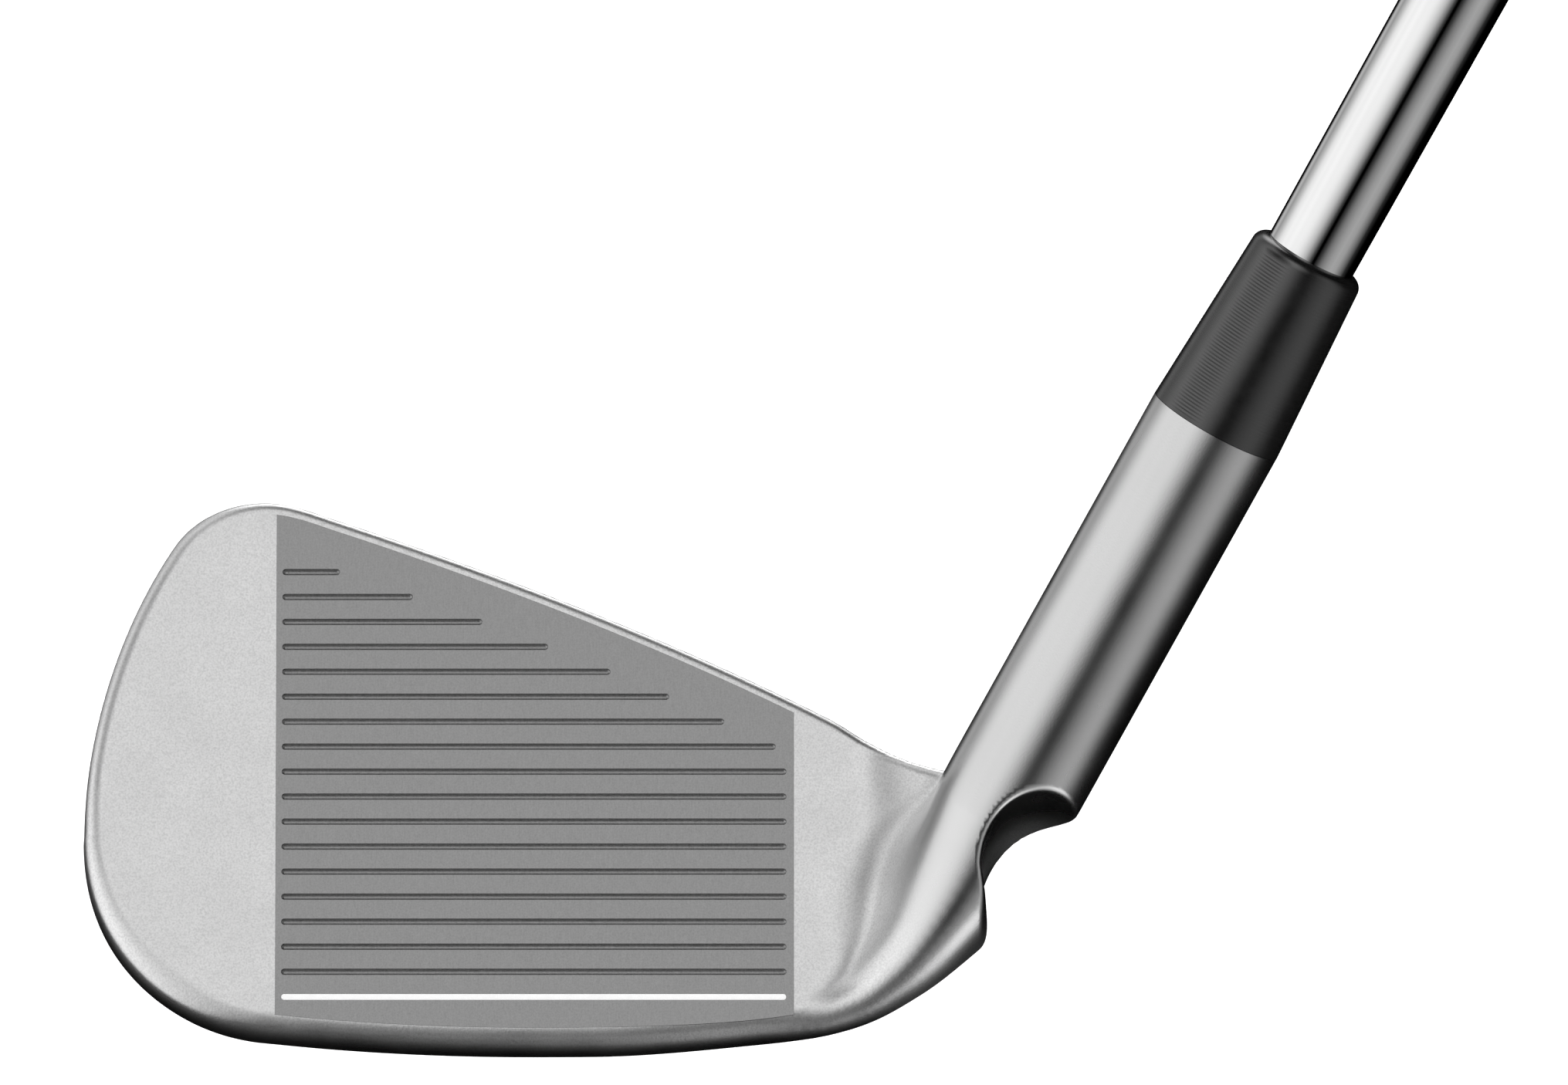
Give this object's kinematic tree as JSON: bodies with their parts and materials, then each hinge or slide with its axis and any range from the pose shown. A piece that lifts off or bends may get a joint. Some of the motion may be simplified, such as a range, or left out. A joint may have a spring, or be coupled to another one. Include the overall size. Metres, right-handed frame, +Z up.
{
  "type": "iron golf club",
  "caption": "Right-handed iron golf club with a grooved cavity-back head, notched hosel, black ferrule, stepped steel shaft and rubber grip.",
  "frame": {"origin": "lowest point of the sole, under the middle of the score lines, with the club at address", "axes": "+Z up, +X from the toe to the heel along the score lines, +Y from the striking face to the back of the head"},
  "size_m": [0.5488, 0.0387, 0.8527],
  "materials": {
    "satin_steel": "fine blasted satin chrome",
    "milled_face_steel": "fine milled matt",
    "white_paint": "satin paint",
    "black_elastomer": "matt",
    "badge_aluminium": "brushed, anodised grey",
    "dark_tungsten": "turned, dark nickel",
    "black_ferrule": "turned and buffed gloss",
    "chrome_shaft": "mirror",
    "amber_epoxy": "clear amber",
    "grip_rubber": "matt, moulded pattern",
    "grip_tape": "crepe paper",
    "brass": "turned"
  },
  "bodies": {
    "root": {"head_body": "satin_steel", "face_plate": "milled_face_steel", "score_line_paint": "white_paint", "damping_insert": "black_elastomer", "cavity_badge": "badge_aluminium", "tuning_weight": "dark_tungsten", "toe_weight": "dark_tungsten", "ferrule": "black_ferrule", "hosel_epoxy": "amber_epoxy", "shaft": "chrome_shaft", "swingweight_plug": "brass", "grip_tape": "grip_tape", "grip": "grip_rubber", "grip_cap": "grip_rubber"}
  },
  "joints": []
}
